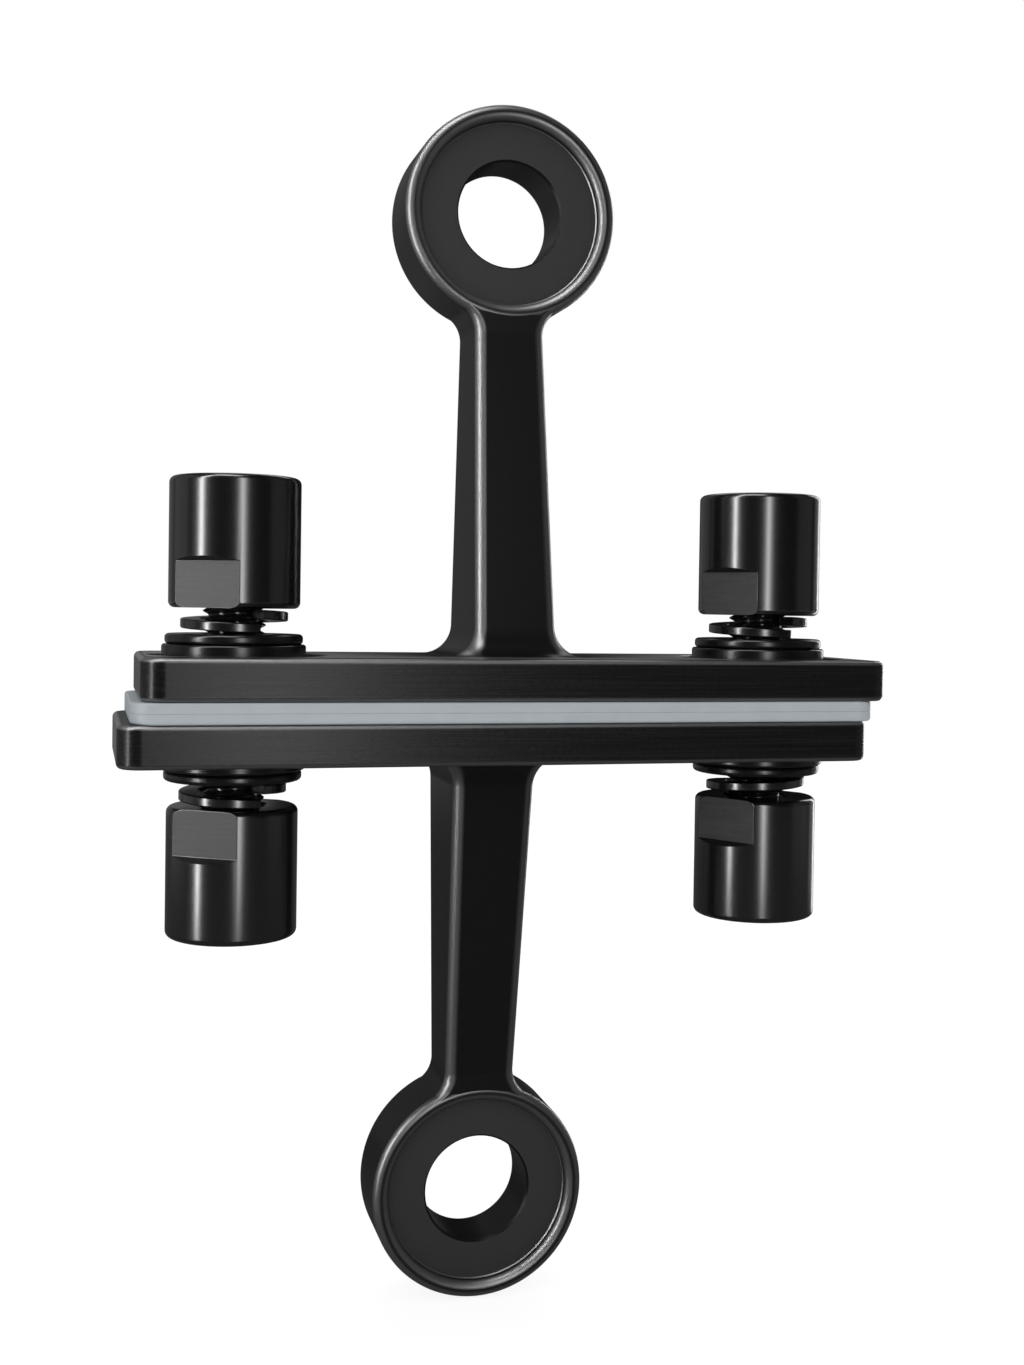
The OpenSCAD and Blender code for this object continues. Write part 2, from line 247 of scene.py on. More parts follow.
def loft(name, rings):
    """Skins closed rings of equally many points and caps both ends."""
    bm = bmesh.new()
    rows = [[bm.verts.new(point) for point in ring] for ring in rings]
    count = len(rows[0])
    for lower, upper in zip(rows, rows[1:]):
        for i in range(count):
            j = (i + 1) % count
            bm.faces.new((lower[i], lower[j], upper[j], upper[i]))
    bm.faces.new(reversed(rows[0]))
    bm.faces.new(rows[-1])
    return new_piece(name, bm)


def lathe(name, profile, steps=128):
    """Revolves a profile of radius and height about Z; a point on the axis closes there."""
    bm = bmesh.new()
    closed = all(radius > SAME_POINT for radius, _ in profile)
    rows = []
    for i in range(steps):
        turn = 2 * math.pi * i / steps
        across, along = math.cos(turn), math.sin(turn)
        rows.append([bm.verts.new((r * across, r * along, z)) for r, z in profile])
    span = len(profile) if closed else len(profile) - 1
    for i in range(steps):
        here, there = rows[i], rows[(i + 1) % steps]
        for k in range(span):
            n = (k + 1) % len(profile)
            corners = [here[k], there[k], there[n], here[n]]
            if profile[k][0] <= SAME_POINT:
                corners.pop(1)
            elif profile[n][0] <= SAME_POINT:
                corners.pop(2)
            bm.faces.new(corners)
    return new_piece(name, bm)


def rod_profile(radius, low, high):
    """Profile of a plain rod between two heights."""
    return [(0, low), (radius, low), (radius, high), (0, high)]


def combine(base, cutter, operation):
    """Joins or cuts the base object with the cutter, exactly, and drops the cutter."""
    modifier = base.modifiers.new("combine", "BOOLEAN")
    modifier.operation = operation
    modifier.solver = "EXACT"
    modifier.object = cutter
    bake(base)
    old = cutter.data
    bpy.data.objects.remove(cutter)
    bpy.data.meshes.remove(old)


def bake(piece):
    """Turns a piece's modifiers into its plain mesh."""
    bpy.context.view_layer.update()
    graph = bpy.context.evaluated_depsgraph_get()
    baked = bpy.data.meshes.new_from_object(
        piece.evaluated_get(graph), preserve_all_data_layers=True, depsgraph=graph
    )
    piece.modifiers.clear()
    old = piece.data
    piece.data = baked
    bpy.data.meshes.remove(old)
    baked.name = piece.name


def smooth(piece, degrees):
    """Shades smooth up to an angle, with flat faces kept flat."""
    mesh = piece.data
    mesh.polygons.foreach_set("use_smooth", [True] * len(mesh.polygons))
    mesh.set_sharp_from_angle(angle=math.radians(degrees))
    weighted = piece.modifiers.new("weighted", "WEIGHTED_NORMAL")
    weighted.keep_sharp = True
    weighted.weight = 60
    bake(piece)


def soften(piece, width, degrees, segments=2):
    """Rounds a piece's sharp edges a little."""
    bevel = piece.modifiers.new("soften", "BEVEL")
    bevel.width = width
    bevel.segments = segments
    bevel.limit_method = "ANGLE"
    bevel.angle_limit = math.radians(degrees)
    bevel.use_clamp_overlap = True
    bake(piece)


def paint(piece, *materials):
    """Gives a piece its materials."""
    piece.data.materials.clear()
    for material in materials:
        piece.data.materials.append(material)


def move(piece, x, y, z=0.0):
    """Shifts a piece's mesh."""
    piece.data.transform(Matrix.Translation((x, y, z)))
    return piece


def stand_up(piece, place, up, turn):
    """Turns a piece made about Z, hangs it upside down where up is -1, and sets it in place."""
    spin = Matrix.Rotation(turn, 4, "Z")
    flip = Matrix.Rotation(0 if up > 0 else math.pi, 4, "X")
    piece.data.transform(Matrix.Translation(place) @ flip @ spin)


def settle(piece, node, body):
    """The piece replaces its CAD node and rides on its body."""
    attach(piece, body)
    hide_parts(node)


# ---- shader groups and materials ----


def node_link(tree, kind, inputs=None, **settings):
    """Adds a node with its settings and inputs; a node given as input is its first output."""
    node = tree.nodes.new(kind)
    for key, value in settings.items():
        setattr(node, key, value)
    for key, value in (inputs or {}).items():
        if isinstance(value, bpy.types.Node):
            value = value.outputs[0]
        if isinstance(value, bpy.types.NodeSocket):
            tree.links.new(value, node.inputs[key])
        else:
            node.inputs[key].default_value = value
    return node


def socket_type(default):
    """The socket type that fits a default; a word names the type itself."""
    if isinstance(default, str):
        return f"NodeSocket{default}"
    if isinstance(default, tuple):
        return "NodeSocketColor" if len(default) == 4 else "NodeSocketVector"
    return "NodeSocketInt" if isinstance(default, int) else "NodeSocketFloat"


def new_group(name, kind, inputs, outputs):
    """A node group with named inputs, given by their defaults, and named outputs."""
    tree = bpy.data.node_groups.new(name, kind)
    for label, default in inputs.items():
        made = tree.interface.new_socket(label, in_out="INPUT", socket_type=socket_type(default))
        if not isinstance(default, str):
            made.default_value = default
    for label, socket in outputs.items():
        tree.interface.new_socket(label, in_out="OUTPUT", socket_type=socket_type(socket))
    return tree, tree.nodes.new("NodeGroupInput").outputs, tree.nodes.new("NodeGroupOutput")


def math_node(tree, operation, *values):
    """A math node over the given values."""
    return node_link(tree, "ShaderNodeMath", dict(enumerate(values)), operation=operation)


def blend(tree, factor, first, second):
    """A value between two others."""
    inputs = {0: factor, 2: first, 3: second}
    return node_link(tree, "ShaderNodeMix", inputs, data_type="FLOAT")


def link_out(tree, sink, **results):
    """Links nodes' first outputs to a group's named outputs."""
    for label, result in results.items():
        tree.links.new(result.outputs[0], sink.inputs[label])
    return tree


def brushed_grain(name):
    """Fine parallel tool marks: a streak value from 0 to 1 and a bumped normal."""
    tree, value, sink = new_group(
        name, "ShaderNodeTree",
        {"Density": (60.0, 3000.0, 3000.0), "Mottle Scale": 900.0, "Mottle": 0.35, "Depth": 0.15},
        {"Streak": "Float", "Normal": "Vector"},
    )
    add = partial(node_link, tree)
    place = add("ShaderNodeTexCoord").outputs["Object"]
    stretched = add("ShaderNodeVectorMath", {0: place, 1: value["Density"]}, operation="MULTIPLY")
    streak = add("ShaderNodeTexNoise", {
        "Vector": stretched, "Scale": 1.0, "Detail": 3.0, "Roughness": 0.6,
    })
    mottle = add("ShaderNodeTexNoise", {
        "Vector": place, "Scale": value["Mottle Scale"], "Detail": 4.0,
    })
    mixed = blend(tree, value["Mottle"], streak, mottle)
    bump = add("ShaderNodeBump", {
        "Strength": value["Depth"], "Distance": GRAIN_HEIGHT, "Height": mixed,
    })
    return link_out(tree, sink, Streak=mixed, Normal=bump)


def graded_tone(name):
    """Colour and roughness that drift a little with a streak value."""
    tree, value, sink = new_group(
        name, "ShaderNodeTree",
        {"Color": BLACK, "Lift": 0.25, "Roughness": 0.35, "Spread": 0.1, "Streak": 0.5},
        {"Color": "Color", "Roughness": "Float"},
    )
    op = partial(math_node, tree)
    centred = op("SUBTRACT", value["Streak"], 0.5)
    gain = op("MULTIPLY_ADD", centred, value["Lift"], 1.0)
    scaling = {0: value["Color"], "Scale": gain}
    tinted = node_link(tree, "ShaderNodeVectorMath", scaling, operation="SCALE")
    rough = op("MULTIPLY_ADD", centred, value["Spread"], value["Roughness"])
    return link_out(tree, sink, Color=tinted, Roughness=rough)


def edge_mask(name):
    """One value on flat faces that passes into another on rounded edges."""
    tree, value, sink = new_group(
        name, "ShaderNodeTree", {"On Flats": 0.0, "On Edges": 1.0}, {"Mask": "Float"}
    )
    edge = node_link(tree, "ShaderNodeAttribute", attribute_name="edge").outputs["Fac"]
    return link_out(tree, sink, Mask=blend(tree, edge, value["On Flats"], value["On Edges"]))


def use_group(tree, name, build, inputs):
    """A node of a group that several materials share; the group is built once."""
    shared = bpy.data.node_groups.get(name) or build(name)
    return node_link(tree, "ShaderNodeGroup", inputs, node_tree=shared)


def set_inputs(shader, values):
    """Sets constants on a shader's own sockets."""
    for label, value in values.items():
        shader.inputs[label].default_value = value


def new_material(name):
    """A new material, its node tree and its shader."""
    material = bpy.data.materials.new(name)
    material.use_nodes = True
    return material, material.node_tree, material.node_tree.nodes["Principled BSDF"]


def polish_edges(tree, shader, roughness, weight):
    """Rounded edges carry a smooth coat that catches the light more broadly than the flats."""
    mask = use_group(tree, "Edge Mask", edge_mask, {"On Flats": 0.0, "On Edges": weight})
    tree.links.new(mask.outputs["Mask"], shader.inputs["Coat Weight"])
    set_inputs(shader, {"Coat Roughness": roughness, "Coat IOR": EDGE_COAT_IOR})


def finish(name, tint, roughness, density, mottle, depth, lift, spread, specular,
           mottle_scale=900.0, edges=None):
    """A cast, painted or machined surface made of the shared grain and tone groups."""
    material, tree, shader = new_material(name)
    grain = use_group(tree, "Brushed Grain", brushed_grain, {
        "Density": density, "Mottle Scale": mottle_scale, "Mottle": mottle, "Depth": depth,
    })
    tone = use_group(tree, "Graded Tone", graded_tone, {
        "Color": (*tint, 1.0), "Lift": lift, "Roughness": roughness, "Spread": spread,
        "Streak": grain.outputs["Streak"],
    })
    tree.links.new(tone.outputs["Color"], shader.inputs["Base Color"])
    tree.links.new(tone.outputs["Roughness"], shader.inputs["Roughness"])
    tree.links.new(grain.outputs["Normal"], shader.inputs["Normal"])
    set_inputs(shader, {"Specular IOR Level": specular})
    if edges:
        polish_edges(tree, shader, *edges)
    material.diffuse_color = (*tint, 1.0)
    return material


# Columns: settings group and field of the colour, roughness, grain per metre along X, Y and Z,
# mottle, depth, lift, spread, specular level; then the mottle's scale and the edges' coat.
PLATE_SIDE = (0.2, 0.02, 2.0, 0.12, 0.19, 900.0, (0.38, 0.32))
FINISHES = {
    "satin casting": (
        "casting", "skin", 0.3, (1200.0,) * 3, 0.4, 0.001, 0.4, 0.05, 0.1, 900.0, (0.42, 1.0)),
    "machined eye face": ("casting", "face", 0.55, (1500.0,) * 3, 0.6, 0.1, 0.25, 0.05, 0.2),
    "brushed plate side": ("casting", "skin", 0.27, (24.0, 1100.0, 1700.0), *PLATE_SIDE),
    "brushed plate end": ("casting", "skin", 0.27, (1100.0, 24.0, 1700.0), *PLATE_SIDE),
    "gloss black": ("hardware", "gloss", 0.21, (40.0, 40.0, 4000.0), 0.2, 0.012, 0.6, 0.06, 1.0),
    "turned black": ("hardware", "gloss", 0.25, (900.0,) * 3, 0.3, 0.01, 0.6, 0.08, 0.5),
    # The wrench flats' lighter colour is partly a painted reflection of the lamps they face; the
    # streaks are grain.
    "brushed, sheen-painted wrench flat": (
        "hardware", "flat", 0.4, (120.0, 120.0, 3600.0), 0.25, 0.12, 1.3, 0.25, 0.35),
    "oiled thread": ("hardware", "steel", 0.2, (2000.0,) * 3, 0.5, 0.1, 0.4, 0.1, 0.5),
    "grey-blue gasket": (
        "hardware", "rubber", 0.55, (60.0, 900.0, 900.0), 0.6, 0.25, 0.3, 0.1, 0.5, 220.0),
}


def shared_finish(name):
    """A finish by its name, made once for all the pieces that share it."""
    if name in bpy.data.materials:
        return bpy.data.materials[name]
    group, field, *make_up = FINISHES[name]
    settings = getattr(bpy.context.scene, f"spider_{group}")
    return finish(name, getattr(settings, field), *make_up)


# ---- castings ----


def rounded_outline(width, depth, corner, inset, steps=10):
    """A rectangle with round corners, shrunk by an inset, anticlockwise."""
    x, y = width / 2 - corner, depth / 2 - corner
    radius = corner - inset
    outline = []
    for quarter, (sx, sy) in enumerate(((1, 1), (-1, 1), (-1, -1), (1, -1))):
        outline += arc((sx * x, sy * y), radius, 90 * quarter, 90, steps)
    return outline


def soft_slab(name, width, depth, low, high, corner, edges, steps=6):
    """A plate with round corners and rounded lower and upper edges between two heights."""
    rings = []
    for edge, start, inward in ((edges[0], low, 1), (edges[1], high, -1)):
        for i in range(steps + 1)[::inward]:
            turn = math.radians(90 * i / steps)
            height = start + inward * edge * (1 - math.cos(turn))
            outline = rounded_outline(width, depth, corner, edge * (1 - math.sin(turn)))
            rings.append([(x, y, height) for x, y in outline])
    return loft(name, rings)


def slot_outline(radius, play, steps=24):
    """A straight slot with round ends."""
    return arc((play, 0), radius, -90, 180, steps) + arc((-play, 0), radius, 90, 180, steps)


def slot_prism(name, x, play, levels):
    """A slot-shaped body at a place along X, from levels of radius and height."""
    return loft(name, [
        [(x + px, py, z) for px, py in slot_outline(radius, play)] for radius, z in levels
    ])


def slot_cutter(settings, x, top):
    """Cuts the recess, with its broken edge, and the through slot below it."""
    play, broken = settings.slot_play, settings.broken_edge
    wide, narrow = settings.recess_radius, settings.slot_radius
    floor = top - settings.recess_depth
    recess = slot_prism("recess", x, play, [
        (wide, floor), (wide, top - broken), (wide + broken + OVERCUT, top + OVERCUT),
    ])
    through = slot_prism("through", x, play, [
        (narrow + broken + OVERCUT, -OVERCUT), (narrow, broken),
        (narrow, floor - broken), (narrow + broken + OVERCUT, floor + OVERCUT),
    ])
    combine(recess, through, "UNION")
    return recess


def arm_rings(settings, eye_height, eye_radius, back, steps=(16, 14, 16, 10)):
    """Sections of the arm from the plate's face up into the ring, above the plate's face."""
    root_steps, taper_steps, neck_steps, corner_steps = steps
    seam, fillet, neck_fillet = settings.seam, settings.root_fillet, settings.neck_fillet
    sunk, tuck = 0.0012, 0.0003
    root_half, neck_half = settings.root_width / 2, settings.neck_width / 2
    neck_x = neck_half + neck_fillet
    reach = eye_radius - seam + neck_fillet
    drop = math.sqrt(reach**2 - neck_x**2)
    neck_z = eye_height - drop
    ring_z = eye_height - drop * (eye_radius - seam) / reach
    arm_back = back - seam
    neck_depth = settings.eye_thickness - 2 * seam
    front_fillet = fillet * 0.7

    def flare(h):
        """How far the root fillet has run out at a height, from 1 at the plate to 0."""
        if h >= fillet:
            return 0.0
        return 1 - math.sqrt(max(0.0, 1 - (1 - max(h, 0.0) / fillet) ** 2))

    def half_width(h):
        """Half the arm's width at a height."""
        if h <= neck_z:
            return root_half + (neck_half - root_half) * h / neck_z + fillet * flare(h)
        return neck_x - math.sqrt(neck_fillet**2 - (min(h, ring_z) - neck_z) ** 2)

    def front(h):
        """Place of the arm's front at a height."""
        taper = (settings.root_depth - neck_depth) * min(max(h, 0.0) / neck_z, 1.0)
        return arm_back - settings.root_depth + taper - front_fillet * flare(h)

    def section(h, inset=0.0):
        """The arm's outline at a height, drawn in by an inset."""
        w, f, b = half_width(h) - inset, front(h) + inset, arm_back - inset
        rb, rf = settings.arm_edge, settings.arm_edge + front_fillet * flare(h)
        corners = (
            (w - rb, b - rb, rb), (-w + rb, b - rb, rb), (-w + rf, f + rf, rf), (w - rf, f + rf, rf)
        )
        points = []
        for quarter, (cx, cy, radius) in enumerate(corners):
            points += arc((cx, cy), radius, 90 * quarter, 90, corner_steps)
        return [(x, y, h) for x, y in points]

    def eased(steps):
        """Angles from just above 0 to a quarter turn."""
        return [math.pi / 2 * i / steps for i in range(1, steps + 1)]

    heights = [-sunk, -seam]
    heights += [fillet * (1 - math.cos(turn)) for turn in eased(root_steps)]
    heights += [fillet + (neck_z - fillet) * i / taper_steps for i in range(1, taper_steps + 1)]
    heights += [neck_z + (ring_z - neck_z) * math.sin(turn) for turn in eased(neck_steps)]
    return [section(h) for h in heights] + [section(ring_z + tuck, tuck)]


def eye_profile(settings, radius):
    """Closed profile of the eye: radius, and place along the bore."""
    half, rim = settings.eye_thickness / 2, settings.rim_width / 2
    web, chamfer = half - settings.eye_recess, settings.eye_chamfer
    inner, bore, nook = radius - settings.rim_width, EYE_BORE_RADIUS, 0.0002
    near = [(bore, -web + chamfer), (bore + chamfer, -web)]
    near += [(inner - nook, -web), (inner, -web - nook)]
    near += arc((inner + rim, -half + rim), rim, 180, 180, 20)
    return near + [(r, -z) for r, z in reversed(near)]


class SPIDER_OT_castings(bpy.types.Operator):
    """Build both castings: slotted plate, tapered arm and ring eye"""

    bl_idname = "spider.castings"
    bl_label = "Castings"

    def execute(self, context):
        settings = context.scene.spider_casting
        low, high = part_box("upper_bracket")
        plan = high.x - low.x, high.y - low.y
        plate_low, shift = low.z, (low.x + high.x) / 2
        eye_z = UPPER_EYE.z - plate_low
        eye_radius = high.z - UPPER_EYE.z
        casting = self.shape(settings, plan, eye_z, eye_radius)
        smooth(casting, 32)
        self.dress(settings, casting, plan, eye_z, eye_radius)
        self.mark_edges(settings, casting, eye_z, eye_radius)
        places = {
            "upper": Matrix.Translation((shift, 0, plate_low)),
            "lower": Matrix.Translation((-shift, 0, -plate_low)) @ Matrix.Rotation(math.pi, 4, "Y"),
        }
        for level, place in places.items():
            mesh = casting.data.copy()
            mesh.transform(place)
            piece = add_object(f"{level}_casting", mesh)
            settle(piece, f"{level}_bracket", "fitting")
        bpy.data.objects.remove(casting)
        return {"FINISHED"}

    def shape(self, settings, plan, eye_z, eye_radius):
        """The upper casting's shape, with the plate's lower face at height 0."""
        top, depth = settings.plate_thickness, plan[1]
        edges = [settings.plate_edge] * 2
        casting = soft_slab("casting", *plan, 0.0, top, settings.plate_corner, edges)
        for across in (-1, 1):
            cutter = slot_cutter(settings, across * settings.stud_spacing / 2, top)
            combine(casting, cutter, "DIFFERENCE")
        back = depth / 2 - settings.arm_inset
        arm = loft("arm", arm_rings(settings, eye_z - top, eye_radius, back))
        move(arm, 0, 0, top)
        turn = Matrix.Translation((0, UPPER_EYE.y, eye_z)) @ Matrix.Rotation(math.pi / 2, 4, "X")
        crest = eye_radius - settings.rim_width / 2
        trim = lathe("trim", rod_profile(crest, -depth, depth))
        trim.data.transform(turn)
        combine(arm, trim, "DIFFERENCE")
        eye = lathe("eye", eye_profile(settings, eye_radius), 160)
        eye.data.transform(turn)
        combine(arm, eye, "UNION")
        combine(casting, arm, "UNION")
        return casting

    def dress(self, settings, casting, plan, eye_z, eye_radius):
        """Machined finishes on the eye's faces and the plate's outer sides, skin elsewhere."""
        skin, face, side, end = range(4)
        paint(casting, *map(shared_finish, (
            "satin casting", "machined eye face", "brushed plate side", "brushed plate end"
        )))
        inner = eye_radius - settings.rim_width
        web = settings.eye_thickness / 2 - settings.eye_recess
        for polygon in casting.data.polygons:
            centre, normal = polygon.center, polygon.normal
            away = math.hypot(centre.x, centre.z - eye_z)
            flat = abs(abs(centre.y - UPPER_EYE.y) - web) < 0.05 * MM
            upright = abs(normal.z) < 0.2 and centre.z < settings.plate_thickness
            beyond = max(abs(centre.x) - plan[0] / 2, abs(centre.y) - plan[1] / 2)
            if flat and away < inner:
                polygon.material_index = face
            elif upright and beyond > -settings.plate_corner:
                polygon.material_index = end if abs(normal.x) > abs(normal.y) else side
            else:
                polygon.material_index = skin

    def mark_edges(self, settings, casting, eye_z, eye_radius):
        """Writes how far each point lies on a rounded edge, from 0 to 1."""
        rim = eye_radius - settings.rim_width - 0.5 * MM
        edge = casting.data.attributes.new("edge", "FLOAT", "POINT")
        for vertex, value in zip(casting.data.vertices, edge.data):
            nx, ny, nz = map(abs, vertex.normal)
            away = math.hypot(vertex.co.x, vertex.co.z - eye_z)
            if vertex.co.z < settings.plate_thickness + 0.1 * MM:
                lean = max(min(nz, math.hypot(nx, ny)), UPRIGHT_EDGE * min(nx, ny))
            elif away > eye_radius:
                lean = min(ny, nx)
            else:
                lean = min(ny, math.hypot(nx, nz)) if away > rim else 0.0
            value.value = min(max((lean - EDGE_START) / EDGE_SPAN, 0.0), 1.0)


class SPIDER_OT_gaskets(bpy.types.Operator):
    """Build both gaskets with their stud holes"""

    bl_idname = "spider.gaskets"
    bl_label = "Gaskets"

    def execute(self, context):
        rubber = shared_finish("grey-blue gasket")
        corner = context.scene.spider_casting.plate_corner
        settings = context.scene.spider_hardware
        for level, up in LEVELS:
            node = f"{level}_gasket"
            low, high, middle, size = measure(node)
            edges = (settings.gasket_seam, settings.gasket_edge)[::up]
            piece = soft_slab(f"{node}_sheet", size.x, size.y, low.z, high.z, corner, edges)
            move(piece, middle.x, middle.y)
            for side, _ in SIDES:
                _, _, stud, stud_size = measure(f"{side}_stud")
                radius = stud_size.x / 2 + settings.gasket_play
                hole = lathe("hole", rod_profile(radius, low.z - OVERCUT, high.z + OVERCUT))
                combine(piece, move(hole, stud.x, stud.y), "DIFFERENCE")
            smooth(piece, 35)
            paint(piece, rubber)
            settle(piece, node, "fitting")
        return {"FINISHED"}


# ---- turned parts ----


def ring_profile(inner, outer, low, high, edge, broken=0.0002):
    """Section of a turned ring: rounded outside, broken edges at the bore."""
    section = [(inner, low + broken), (inner + broken, low)]
    section += arc((outer - edge, low + edge), edge, -90, 90, 8)
    section += arc((outer - edge, high - edge), edge, 0, 90, 8)
    return section + [(inner + broken, high), (inner, high - broken)]


class SPIDER_OT_washers(bpy.types.Operator):
    """Build the slot discs and the round-edged flat washers"""

    bl_idname = "spider.washers"
    bl_label = "Discs and washers"

    def execute(self, context):
        settings = context.scene.spider_hardware
        turned = shared_finish("turned black")
        kinds = (
            ("slot_disc", settings.disc_bore, settings.disc_edge),
            ("flat_washer", settings.washer_bore, settings.washer_edge),
        )
        for corner, _, _ in CORNERS:
            for kind, inner, edge in kinds:
                node = f"{corner}_{kind}"
                low, high, middle, size = measure(node)
                profile = ring_profile(inner, size.x / 2, low.z, high.z, edge)
                piece = move(lathe(f"{node}_turned", profile), middle.x, middle.y)
                smooth(piece, 32)
                paint(piece, turned)
                settle(piece, node, "fitting")
        return {"FINISHED"}


class SPIDER_OT_cap_nuts(bpy.types.Operator):
    """Build the cap nuts with their blind bore and wrench flats"""

    bl_idname = "spider.cap_nuts"
    bl_label = "Cap nuts"

    def flat_cutter(self, settings, side):
        """Mills one wrench flat, with the cutter's slanted run-out above it."""
        reach = 2 * settings.nut_radius
        near, top = settings.nut_flats / 2, settings.flat_height
        runout = top + settings.flat_runout * (reach - near)
        outline = [(near, -OVERCUT), (near, top), (reach, runout), (reach, -OVERCUT)]
        rings = [[(x, side * y, z) for y, z in outline] for x in (-reach, reach)]
        return loft("flat_cutter", rings)

    def profile(self, settings, height):
        """Section of the nut: the blind bore with its drill point, and the round outside."""
        radius, edge = settings.nut_radius, settings.nut_edge
        bore, depth, mouth = settings.nut_bore, settings.nut_depth, settings.nut_mouth
        inside = [(0.0, depth + bore * settings.drill_point), (bore, depth), (bore, mouth)]
        outside = [(bore + mouth, 0.0)] + arc((radius - edge, edge), edge, -90, 90, 10)
        outside += arc((radius - edge, height - edge), edge, 0, 90, 10)
        return inside + outside + [(0.0, height)]

    def execute(self, context):
        settings = context.scene.spider_hardware
        finishes = [shared_finish("gloss black"), shared_finish("brushed, sheen-painted wrench flat")]
        profile = self.profile(settings, measure("upper_left_cap_nut")[3].z)
        for corner, up, across in CORNERS:
            node = f"{corner}_cap_nut"
            low, high, middle, _ = measure(node)
            piece = lathe(f"{node}_turned", profile)
            for side in (-1, 1):
                combine(piece, self.flat_cutter(settings, side), "DIFFERENCE")
            soften(piece, settings.milled_edge, 24)
            smooth(piece, 30)
            paint(piece, *finishes)
            # The outward flats take the lighter finish, whose colour is partly a painted
            # reflection.
            for polygon in piece.data.polygons:
                outward = abs(polygon.normal.y) > 0.999
                on_flat = abs(abs(polygon.center.y) - settings.nut_flats / 2) < 0.02 * MM
                polygon.material_index = int(outward and on_flat)
            turn = settings.left_turn if across < 0 else settings.right_turn
            seat = low.z if up > 0 else high.z
            stand_up(piece, (middle.x, 0, seat), up, -up * turn)
            settle(piece, node, node)
        return {"FINISHED"}


# ---- studs and springs, grown by geometry nodes ----


def move_to(tree, mesh, x, y, z):
    """Moves a mesh's points to new coordinates."""
    place = node_link(tree, "ShaderNodeCombineXYZ", {0: x, 1: y, 2: z})
    return node_link(tree, "GeometryNodeSetPosition", {"Geometry": mesh, "Position": place})


def end_tree(tree, sink, shape, material):
    """Ends a geometry tree with a real mesh in its material."""
    real = node_link(tree, "GeometryNodeRealizeInstances", {0: shape})
    inputs = {"Geometry": real, "Material": material}
    return link_out(tree, sink, Geometry=node_link(tree, "GeometryNodeSetMaterial", inputs))


def thread_tree():
    """Geometry nodes that cut a screw thread into a rod by moving its surface in and out."""
    tree, value, sink = new_group("Threaded Rod", "GeometryNodeTree", {
        "Geometry": "Geometry", "Radius": 0.006, "Length": 0.066, "Pitch": 0.00175,
        "Depth": 0.001, "Chamfer": 0.001, "Rows Per Pitch": 10.0, "Sides": 48,
        "Material": "Material",
    }, {"Geometry": "Geometry"})
    add, op = partial(node_link, tree), partial(math_node, tree)
    length, pitch, outer = value["Length"], value["Pitch"], value["Radius"]
    rows = op("MULTIPLY", op("DIVIDE", length, pitch), value["Rows Per Pitch"])
    rod = add("GeometryNodeMeshCylinder", {
        "Vertices": value["Sides"], "Side Segments": rows, "Radius": 1.0, "Depth": length,
    }, fill_type="NGON")
    x, y, z = add("ShaderNodeSeparateXYZ", {0: add("GeometryNodeInputPosition")}).outputs
    turn = op("DIVIDE", op("ARCTAN2", y, x), 2 * math.pi)
    phase = op("FRACT", op("SUBTRACT", op("DIVIDE", z, pitch), turn))
    ramp = op("ABSOLUTE", op("MULTIPLY_ADD", phase, 2.0, -1.0))
    # The root is a quarter of the pitch wide and the crest an eighth.
    flank = add("ShaderNodeMapRange", {
        "Value": ramp, "From Min": 0.25, "From Max": 0.875, "To Min": 1.0, "To Max": 0.0,
    })
    thread = op("SUBTRACT", outer, op("MULTIPLY", flank, value["Depth"]))
    inboard = op("SUBTRACT", op("MULTIPLY", length, 0.5), op("ABSOLUTE", z))
    cone = op("ADD", inboard, op("SUBTRACT", outer, value["Chamfer"]))
    radius = op("MINIMUM", thread, cone)
    x, y = op("MULTIPLY", x, radius), op("MULTIPLY", y, radius)
    return end_tree(tree, sink, move_to(tree, rod, x, y, z), value["Material"])


def spring_tree():
    """Geometry nodes that sweep a bar with broken edges along one open turn."""
    tree, value, sink = new_group("Spring Washer", "GeometryNodeTree", {
        "Geometry": "Geometry", "Inner Radius": 0.00635, "Outer Radius": 0.0102,
        "Bar Thickness": 0.0018, "Rise": 0.0027, "Split": 0.24, "Hand": 1.0,
        "Broken Edge": 0.00029, "Steps": 120, "Material": "Material",
    }, {"Geometry": "Geometry"})
    add, op = partial(node_link, tree), partial(math_node, tree)
    inner, outer, bar = value["Inner Radius"], value["Outer Radius"], value["Bar Thickness"]
    line = add("GeometryNodeMeshLine", {"Count": value["Steps"]})
    index = add("GeometryNodeInputIndex")
    along = op("DIVIDE", index, op("SUBTRACT", value["Steps"], 1.0))
    sweep = op("MULTIPLY", along, op("SUBTRACT", 2 * math.pi, value["Split"]))
    turn = op("MULTIPLY", sweep, value["Hand"])
    middle = op("MULTIPLY", op("ADD", inner, outer), 0.5)
    climb = op("MULTIPLY", op("SUBTRACT", 1.0, along), value["Rise"])
    height = op("MULTIPLY_ADD", bar, 0.5, climb)
    x, y = (op("MULTIPLY", op(wave, turn), middle) for wave in ("COSINE", "SINE"))
    path = add("GeometryNodeMeshToCurve", {0: move_to(tree, line, x, y, height)})
    upright = add("GeometryNodeSetCurveNormal", {0: path}, mode="Z_UP")
    section = add("GeometryNodeCurvePrimitiveQuadrilateral", {
        0: op("SUBTRACT", outer, inner), 1: bar,
    })
    rounded = add("GeometryNodeFilletCurve", {
        "Curve": section, "Radius": value["Broken Edge"], "Count": 3,
    }, mode="POLY")
    swept = add("GeometryNodeCurveToMesh", {
        "Curve": upright, "Profile Curve": rounded, "Fill Caps": True,
    })
    return end_tree(tree, sink, swept, value["Material"])


